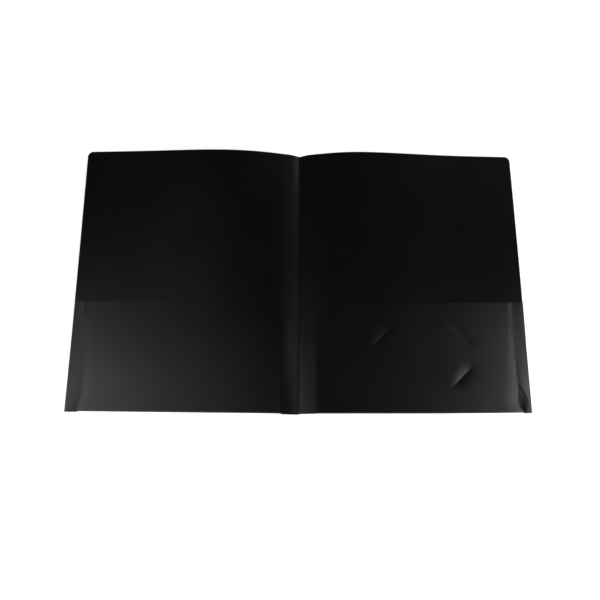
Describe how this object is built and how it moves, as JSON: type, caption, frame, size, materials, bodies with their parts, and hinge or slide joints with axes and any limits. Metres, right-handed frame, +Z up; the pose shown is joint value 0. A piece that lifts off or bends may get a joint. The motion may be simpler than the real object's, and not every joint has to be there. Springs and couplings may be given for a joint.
{
  "type": "two pocket folder",
  "caption": "Open letter-size plastic folder with a pocket along the bottom of each cover, welded side flaps and slits for a business card.",
  "frame": {"origin": "on the table under the middle of the crease, at half the folder's height", "axes": "+X across the open folder towards the right cover, +Y up the page from the pockets to the top edge, +Z up from the table"},
  "size_m": [0.4842, 0.2984, 0.008],
  "materials": {
    "satin_sheet": "satin with a fine sand texture",
    "folded_sheet": "satin, polished a little by folding",
    "weld_spots": "glossy remelted plastic"
  },
  "bodies": {
    "left_cover": {"left_cover": "satin_sheet", "left_pocket_fold": "folded_sheet", "left_flap_fold": "folded_sheet"},
    "spine": {"spine_crease": "folded_sheet"},
    "right_cover": {"right_cover": "satin_sheet", "right_pocket_fold": "folded_sheet", "right_flap_fold": "folded_sheet"},
    "left_pocket": {"left_pocket": "satin_sheet", "left_side_flap": "satin_sheet", "left_pocket_welds": "weld_spots"},
    "right_pocket": {"right_pocket": "satin_sheet", "right_side_flap": "satin_sheet", "right_pocket_welds": "weld_spots"}
  },
  "joints": [
    {"name": "cover_fold", "type": "hinge", "parent": "left_cover", "child": "right_cover", "pos_m": [0, 0, 0.00222], "axis": [0, -1, 0], "range_deg": [0, 180]},
    {"name": "spine_fold", "type": "hinge", "parent": "left_cover", "child": "spine", "pos_m": [-0.002, 0, 0.00022], "axis": [0, -1, 0], "range_deg": [0, 90]},
    {"name": "left_pocket_press", "type": "hinge", "parent": "left_cover", "child": "left_pocket", "pos_m": [-0.125, -0.14768, 0.00095], "axis": [1, 0, 0], "range_deg": [-3, 0], "deforming": ["left_flap_fold"]},
    {"name": "right_pocket_press", "type": "hinge", "parent": "right_cover", "child": "right_pocket", "pos_m": [0.125, -0.14768, 0.00095], "axis": [1, 0, 0], "range_deg": [-3, 0], "deforming": ["right_flap_fold"]}
  ],
  "couplings": [
    {"joint": "spine_fold", "follows": "cover_fold", "ratio": 0.5},
    {"joint": "left_pocket_press", "follows": "cover_fold", "ratio": -0.016667},
    {"joint": "right_pocket_press", "follows": "cover_fold", "ratio": -0.016667}
  ]
}
